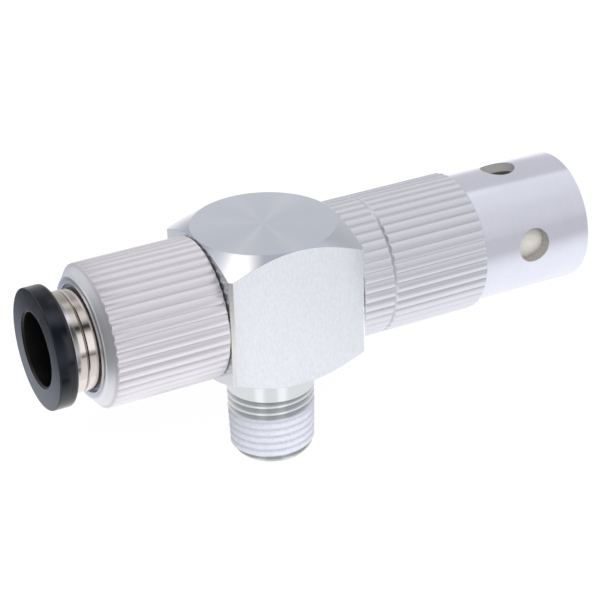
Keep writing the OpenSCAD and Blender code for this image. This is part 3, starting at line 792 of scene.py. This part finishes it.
def block():
    """Square block with turned corners, plain neck, threaded stem, and the bores through them."""
    cube = chamfered_cube()
    face = HALF - CONE_INSET
    wide = 8
    drop = wide*math.tan(math.radians(CONE_DEG))
    cones = turned("block_cones", [
        (BLOCK_BOTTOM, 0), (BLOCK_BOTTOM, face), (BLOCK_BOTTOM + drop, face + wide),
        (BLOCK_TOP - drop, face + wide), (BLOCK_TOP, face), (BLOCK_TOP, 0),
    ], along="Z", steps=256)
    combined(cube, "INTERSECT", cones)
    modified(cube, "BEVEL", width=EDGE_ROUND, segments=2, limit_method="ANGLE",
             angle_limit=math.radians(20), harden_normals=False)
    neck_foot = STEM_END + THREAD_LEN
    in_thread, into_block = 0.3, 0.5
    neck = turned("neck", [
        (neck_foot - in_thread, 0), (neck_foot - in_thread, NECK_FOOT_R), (neck_foot - 0.02, NECK_R - 0.06),
        (neck_foot + 0.03, NECK_R), (BLOCK_BOTTOM + into_block, NECK_R), (BLOCK_BOTTOM + into_block, 0),
    ], along="Z")
    combined(cube, "UNION", neck)
    combined(cube, "UNION", threaded_stem())
    bore_r = SPIGOT_R + FIT_GAP
    left, right = SPIGOT_IN + FIT_GAP, SPIGOT_OUT - FIT_GAP
    bores = turned("spigot_bores", [
        (-HALF - OVER, 0), (-HALF - OVER, bore_r), (left, bore_r), (left, CHAMBER_R),
        (right, CHAMBER_R), (right, bore_r), (HALF + OVER, bore_r), (HALF + OVER, 0),
    ])
    combined(cube, "DIFFERENCE", bores)
    passage = turned("vacuum_passage", [
        (STEM_END - OVER, 0), (STEM_END - OVER, VACUUM_BORE_R + BORE_CHAMFER + OVER),
        (STEM_END + BORE_CHAMFER, VACUUM_BORE_R), (FLOW_Z, VACUUM_BORE_R), (FLOW_Z, 0),
    ], along="Z", steps=96)
    return combined(cube, "DIFFERENCE", passage)


def thread_coat():
    """Thin coat of dry sealant over five turns of the thread, its edges on the helix."""
    over_crest, in_root, wall = 0.045, 0.16, 0.06
    root = GAUGE_R - THREAD_DEPTH + over_crest + in_root
    crest = GAUGE_R + over_crest
    flank = (crest - root)*FLANK_SLOPE
    flat = 0.15
    low = THREAD_PITCH - flat - 2*flank
    profile = [
        (crest, 0), (crest, flat/2), (root, flat/2 + flank), (root, flat/2 + flank + low),
        (crest, THREAD_PITCH - flat/2), (crest, THREAD_PITCH),
    ]
    first_height = STEM_END + CREST_HEIGHT - THREAD_PITCH/2
    sheet = wound("sealing_coat_on_thread", profile, turns=5, first_height=first_height)
    edit(sheet)
    bpy.ops.mesh.remove_doubles(threshold=0.002)
    bpy.ops.mesh.normals_make_consistent(inside=False)
    bpy.ops.object.mode_set(mode="OBJECT")
    tapered(sheet)
    modified(sheet, "SOLIDIFY", thickness=wall, offset=-1)
    above_coat = STEM_END + 7
    trim = lead_in("coat_trim", END_FACE_R + over_crest, above_coat)
    return combined(close(sheet), "INTERSECT", trim)


# ---------------------------------------------------------------- the part

collar_finish = knurled_metal("collar_aluminium", NOSE_CONE_END - 0.3, -HALF - 0.1, COLLAR_R, GREY,
                              BRIGHT_KNURL, seam=-HALF, seam_shade=0.6)
head_finish = knurled_metal("head_aluminium", HALF + 0.1, HEAD_END - 0.1, GRIP_R, LILAC,
                            DULL_KNURL, seam=HALF, seam_shade=0.8)
case_finish = knurled_metal("case_aluminium", HEAD_END + 0.1, GRIP_END - 0.1, GRIP_R, LILAC,
                            DULL_KNURL, seam=HEAD_END, seam_shade=0.2)

finished(block(), "ejector", "body_block", block_metal(), angle_deg=10)
finished(thread_coat(), "ejector", None, sealing_coat(), angle_deg=60)
finished(collar(), "ejector", "supply_collar", collar_finish)
finished(head(), "ejector", "exhaust_head", head_finish)
finished(case(), "ejector", "silencer_case", case_finish)
finished(guide(), "ejector", "guide_ring", nickel(), angle_deg=40)
finished(press_ring(), "release", "release_ring", black_plastic(), angle_deg=40)

steel = turned_inner("spring_steel", (0.62, 0.62, 0.64), (0.74, 0.74, 0.76), 1.0, 0.2)
brass = turned_inner("brass", (0.72, 0.52, 0.22), (0.84, 0.63, 0.30), 1.0, 0.2)
rubber = turned_inner("black_rubber", (0.012, 0.012, 0.013), (0.03, 0.03, 0.032), 0.0, 0.55)
INNER = {
    "lock_claws": (steel, "spring_steel"),
    "claw_ring": (brass, "brass"),
    "nozzle": (brass, "brass"),
    "diffuser_tube": (brass, "brass"),
    "silencer_element": (porous_white(), "porous_white"),
    "tube_seal": (rubber, "black_rubber"),
    "collar_seal": (rubber, "black_rubber"),
    "nozzle_seal": (rubber, "black_rubber"),
    "head_seal": (rubber, "black_rubber"),
    "case_seal": (rubber, "black_rubber"),
}
for node_name, (material, slot_name) in INNER.items():
    inner = only(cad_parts[node_name])
    bpy.ops.object.shade_smooth_by_angle(angle=math.radians(30))
    inner.data.materials.clear()
    inner.data.materials.append(material)


# ---------------------------------------------------------------- studio

def white_world(level):
    """White to the eye and to reflections, and a plain level of light for the rest."""
    world = bpy.data.worlds.new("studio")
    bpy.context.scene.world = world
    world.cycles.sampling_method = "NONE"
    t = Tree(world)
    plain, white = (t.node("ShaderNodeBackground", {}, [(grey, grey, grey, 1)]) for grey in (level, 1))
    t.node("ShaderNodeOutputWorld", {}, [t.mixed(t.seen(), plain, white)])


def pale_floor():
    """Pale floor under the stem; it looks white, and keeps a part of the shadow."""
    where = (0, 0, STEM_END*MM - 0.00002)
    floor = primitive(bpy.ops.mesh.primitive_plane_add, "floor", size=6, location=where)
    t = Tree(bpy.data.materials.new("floor"))
    pale = t.node("ShaderNodeBsdfDiffuse", {}, [(0.85, 0.85, 0.86, 1)])
    shadowed = t.node("ShaderNodeBsdfDiffuse", {}, [(0.16, 0.16, 0.16, 1)])
    glow = t.node("ShaderNodeEmission", {}, [(0.90, 0.90, 0.90, 1)])
    both = t.node("ShaderNodeAddShader", {}, [shadowed, glow])
    t.node("ShaderNodeOutputMaterial", {}, [t.mixed(t.seen(), pale, both)])
    t.owner.cycles.emission_sampling = "NONE"
    floor.data.materials.append(t.owner)


def card(piece, reading, stops, tint=None):
    """Makes a piece a studio card that only reflections see.

    Its grey, or its share of the tint, is graded along a reading of its places.
    """
    t = Tree(bpy.data.materials.new(piece.name))
    t.places()
    level = reading(t).graded(stops)
    glow = t.node("ShaderNodeEmission", {}, [t.colours(level, (0, 0, 0), tint) if tint else level])
    t.node("ShaderNodeOutputMaterial", {}, [glow])
    t.owner.cycles.emission_sampling = "NONE"
    piece.data.materials.append(t.owner)
    for kind in ("camera", "diffuse", "shadow", "transmission", "volume_scatter"):
        setattr(piece, "visible_" + kind, False)


def hoop(name, radius, start, end, from_deg, to_deg, stops, tint=None):
    """A band of card bent round the flow axis, between two places along it.

    The angles count up from the horizon behind, over the top.
    """
    turn = math.radians(from_deg)
    across, height = radius*math.cos(turn), radius*math.sin(turn)
    piece = drawn(name, [(start, across, height), (end, across, height)])
    edit(piece)
    bpy.ops.mesh.spin(steps=60, angle=math.radians(from_deg - to_deg), center=(0, 0, 0), axis=(1, 0, 0))
    bpy.ops.mesh.select_all(action="SELECT")
    bpy.ops.transform.translate(value=(0, 0, FLOW_Z))
    bpy.ops.transform.resize(value=(MM, MM, MM), center_override=(0, 0, 0))
    bpy.ops.object.mode_set(mode="OBJECT")
    card(piece, lambda t: t.about_flow, stops, tint)


def fence():
    """Low dish of card round the stem's foot, grey with two bright strips."""
    foot = STEM_END*MM
    inner, outer, height = 0.0042, 0.0125, 0.009
    piece = drawn("fence", [(inner, 0, foot), (outer, 0, foot), (outer, 0, foot + height)])
    edit(piece)
    bpy.ops.mesh.spin(steps=72, angle=FULL_TURN, center=(0, 0, 0), axis=(0, 0, 1))
    bpy.ops.object.mode_set(mode="OBJECT")
    card(piece, lambda t: t.about_stem, FENCE)


def left_cards():
    """Two cards on the floor left of the collar, darker away from it, and a dark wall at their far end."""
    add_plane = bpy.ops.mesh.primitive_plane_add
    size, middle = 0.3, -0.178
    foot = STEM_END*MM + 0.00001
    near = primitive(add_plane, "near_ground", size=size, location=(middle, -0.138, foot))
    card(near, lambda t: t.x, NEAR_GROUND)
    far = primitive(add_plane, "far_ground", size=size, location=(middle, 0.162, foot))
    card(far, lambda t: t.x + (t.y - 35)*0.1, FAR_GROUND, COOL)
    wall = primitive(add_plane, "left_wall", size=0.5, location=(-0.328, -0.05, 0.2),
                     rotation=(0, math.radians(90), 0))
    card(wall, lambda t: t.y, LEFT_WALL)


def lamp(name, where, target, size, watts):
    """A square soft light aimed at a place, which reflections don't see."""
    data = bpy.data.lights.new(name, "AREA")
    data.shape = "SQUARE"
    data.size = size
    data.energy = watts
    piece = bpy.data.objects.new(name, data)
    bpy.context.scene.collection.objects.link(piece)
    piece.location = where
    piece.rotation_euler = (Vector(target) - Vector(where)).to_track_quat("-Z", "Y").to_euler()
    piece.visible_glossy = False


def camera_at(azimuth_deg, elevation_deg, roll_deg, distance, aside, below, lens):
    """A camera that looks at the flow axis over the stem, moved aside and down, in millimetres."""
    azimuth, elevation, roll = (math.radians(a) for a in (azimuth_deg, elevation_deg, roll_deg))
    flat = math.cos(elevation)
    back = Vector((math.sin(azimuth)*flat, -math.cos(azimuth)*flat, math.sin(elevation)))
    level_right = Vector((0, 0, 1)).cross(back).normalized()
    level_up = back.cross(level_right)
    right = math.cos(roll)*level_right + math.sin(roll)*level_up
    up = math.cos(roll)*level_up - math.sin(roll)*level_right
    camera = bpy.data.objects.new("camera", bpy.data.cameras.new("camera"))
    bpy.context.scene.collection.objects.link(camera)
    camera.data.lens = lens
    camera.data.sensor_width = 36
    camera.data.clip_start = 0.01
    camera.location = (back*distance + right*aside - up*below + Vector((0, 0, FLOW_Z)))*MM
    camera.rotation_mode = "QUATERNION"
    camera.rotation_quaternion = Matrix((right, up, back)).transposed().to_quaternion()
    bpy.context.scene.camera = camera


# greys of the cards, as [degrees round an axis or millimetres, level]
TENT = [
    (-10, 0.97), (-4, 0.93), (4, 0.80), (14, 0.70), (24, 0.67), (69, 0.655), (73, 0.92), (90, 0.87),
    (110, 0.84), (126, 0.78), (150, 0.75), (170, 0.68), (180, 0.64),
]
OVERHEAD_LEFT = [(-10, 0.80), (48, 0.75), (58, 1.25), (86, 1.25), (94, 0.70), (180, 0.70)]
TOP_STREAK = [(60, 1.05), (90, 1.05)]
LOW_FRONT = [
    (-180, 0.64), (-171, 0.64), (-160.6, 0.83), (-150.4, 0.96), (-140, 1.02), (-130, 1.04),
    (140, 1.04), (142, 0.64), (180, 0.64),
]
NEAR_GROUND = [
    (-328, 0.33), (-98, 0.33), (-60, 0.30), (-52, 0.32), (-47, 0.50), (-43, 0.80), (-38, 1.0),
    (-28, 1.0),
]
FAR_GROUND = [
    (-328, 0.10), (-60, 0.10), (-42, 0.06), (-41, 0.08), (-40.4, 0.15), (-39.9, 0.34),
    (-39.4, 0.64), (-38.8, 0.80), (-38, 0.88), (-36, 0.95), (-28, 0.95),
]
COOL = (0.93, 0.98, 1.12)
LEFT_WALL = [(-300, 0.34), (20, 0.34), (60, 0.45), (110, 0.60), (200, 0.66)]
FLANGE_SIDE = [
    (-180, 0.55), (-170, 0.36), (-162, 0.31), (-155, 0.42), (-148, 0.12), (-141, 0.45),
    (-134, 0.75), (-120, 1.0), (-40, 0.6), (0, 0.64), (7, 0.74), (23, 0.72), (38, 0.56),
    (53, 0.50), (67, 0.30), (88, 0.34), (95, 0.52), (102, 0.86), (109, 1.0), (116, 0.78),
    (123, 0.28), (130, 0.08), (143, 0.12), (157, 0.36), (172, 0.58), (180, 0.57),
]
GUIDE_SIDE = [
    (-180, 0.60), (-173, 0.20), (-169, 0.60), (-158, 0.74), (-147, 0.83), (-131, 0.88),
    (-120, 0.92), (-40, 0.6), (20, 0.58), (32, 0.49), (43, 0.44), (60, 0.37), (66, 0.38),
    (76, 0.62), (81, 0.56), (90, 0.39), (97, 0.52), (103, 0.74), (113, 0.78), (119, 0.60),
    (124, 0.34), (129, 0.06), (134, 0.06), (139, 0.30), (145, 0.82), (152, 1.0), (166, 1.08),
    (176, 1.06), (180, 0.72),
]
FENCE = [
    (-180, 0.82), (-150, 0.82), (-146, 1.05), (-132, 1.05), (-128, 0.80), (-103, 0.80), (-99, 1.05),
    (-84, 1.05), (-80, 0.82), (180, 0.82),
]

# radii of the hoops that stand for the room, and of those close in front of case, collar and rings
ROOM_R = 700
CLOSE_R = 22

white_world(0.55)
pale_floor()
hoop("tent", ROOM_R, -60, 1600, -10, 180, TENT)
hoop("overhead_left", ROOM_R, -1200, -60, -10, 180, OVERHEAD_LEFT)
hoop("top_streak", ROOM_R - 10, 396, 424, 70, 82, TOP_STREAK)
hoop("low_front_case", CLOSE_R, 14.8, 56, 165, 240, LOW_FRONT)
hoop("low_front_collar", CLOSE_R, -16.4, -2.6, 165, 240, LOW_FRONT)
hoop("guide_side", CLOSE_R, -20.6, -16.5, -5, 240, GUIDE_SIDE)
hoop("flange_side", CLOSE_R, -25, -20.7, -5, 240, FLANGE_SIDE, COOL)
fence()
left_cards()
lamp("key", (-0.25, -0.45, 0.55), (0, 0, 0.015), size=0.4, watts=3)
lamp("fill", (0.5, -0.3, 0.35), (0, 0, 0.015), size=0.5, watts=1)
camera_at(-26.797, 27.215, -2.018, distance=232.136, aside=3.760, below=1.209, lens=125.48)
